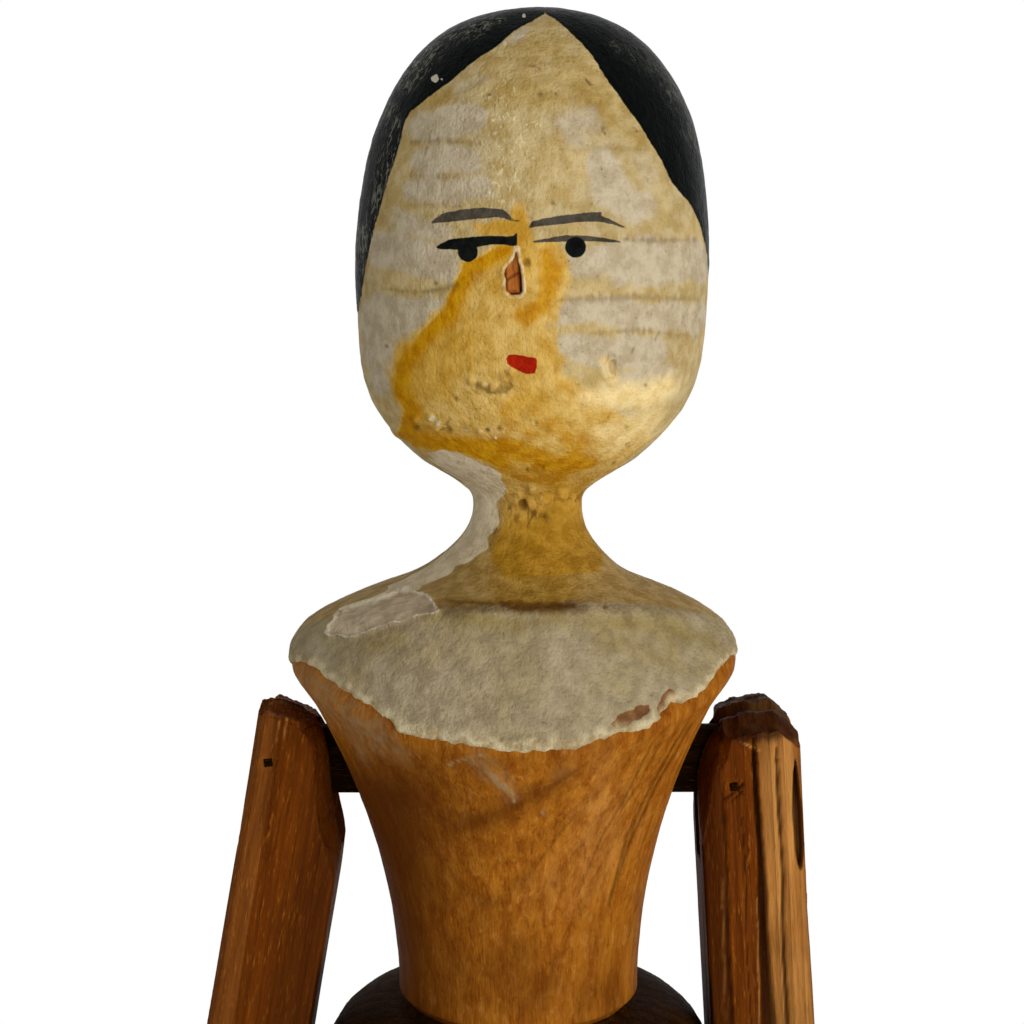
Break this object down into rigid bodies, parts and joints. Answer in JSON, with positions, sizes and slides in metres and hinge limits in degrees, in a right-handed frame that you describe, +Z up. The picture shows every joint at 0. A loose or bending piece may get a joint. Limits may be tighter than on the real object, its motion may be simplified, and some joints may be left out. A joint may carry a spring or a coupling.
{
  "type": "jointed wooden doll",
  "caption": "Peg-wooden doll with a turned head and torso, a painted face and hair, and pegged shoulders, elbows, hips and knees.",
  "frame": {"origin": "on the floor, below the middle of the whole doll as its arms hang; the torso's centre line is 3 mm to its left", "axes": "+Z up, the face looks along -Y, +X is the doll's left"},
  "size_m": [0.0758, 0.0418, 0.305],
  "materials": {
    "gesso": "aged paint and varnish on gesso",
    "pine": "bare whittled pine, aged",
    "dark_pine": "bare, worn dark",
    "painted_pine": "paint over pine"
  },
  "bodies": {
    "torso": {"body": "gesso", "nose_wedge": "pine", "hip_pin": "dark_pine"},
    "rod": {"shoulder_rod": "dark_pine"},
    "right_arm": {"right_upper_arm": "pine", "right_arm_pin": "dark_pine", "right_elbow_pin": "dark_pine"},
    "left_arm": {"left_upper_arm": "pine", "left_arm_pin": "dark_pine", "left_elbow_pin": "dark_pine"},
    "right_lower_arm": {"right_forearm": "pine"},
    "left_lower_arm": {"left_forearm": "pine"},
    "right_upper_leg": {"right_thigh": "pine", "right_knee_pin": "dark_pine"},
    "left_upper_leg": {"left_thigh": "pine", "left_knee_pin": "dark_pine"},
    "right_lower_leg": {"right_shin": "painted_pine"},
    "left_lower_leg": {"left_shin": "painted_pine"}
  },
  "joints": [
    {"name": "shoulder_swing", "type": "hinge", "parent": "torso", "child": "rod", "pos_m": [0.00305, 0, 0.226], "axis": [-1, 0, 0], "range_deg": [-90, 95]},
    {"name": "right_arm_lift", "type": "hinge", "parent": "rod", "child": "right_arm", "pos_m": [-0.02279, 0, 0.2268], "axis": [0, 1, 0], "range_deg": [-2, 90]},
    {"name": "left_arm_lift", "type": "hinge", "parent": "rod", "child": "left_arm", "pos_m": [0.02664, 0, 0.2242], "axis": [0, -1, 0], "range_deg": [0, 16]},
    {"name": "right_elbow", "type": "hinge", "parent": "right_arm", "child": "right_lower_arm", "pos_m": [-0.02772, 0, 0.17895], "axis": [-0.9857, 0, 0.1685], "range_deg": [0, 110]},
    {"name": "left_elbow", "type": "hinge", "parent": "left_arm", "child": "left_lower_arm", "pos_m": [0.0318, 0, 0.17643], "axis": [-0.998, 0, -0.0628], "range_deg": [0, 110]},
    {"name": "right_hip", "type": "hinge", "parent": "torso", "child": "right_upper_leg", "pos_m": [-0.006, 0, 0.177], "axis": [-1, 0, 0], "range_deg": [-40, 90]},
    {"name": "left_hip", "type": "hinge", "parent": "torso", "child": "left_upper_leg", "pos_m": [0.0128, 0, 0.177], "axis": [-1, 0, 0], "range_deg": [-40, 90]},
    {"name": "right_knee", "type": "hinge", "parent": "right_upper_leg", "child": "right_lower_leg", "pos_m": [-0.006, 0, 0.093], "axis": [1, 0, 0], "range_deg": [0, 110]},
    {"name": "left_knee", "type": "hinge", "parent": "left_upper_leg", "child": "left_lower_leg", "pos_m": [0.0128, 0, 0.093], "axis": [1, 0, 0], "range_deg": [0, 110]}
  ]
}
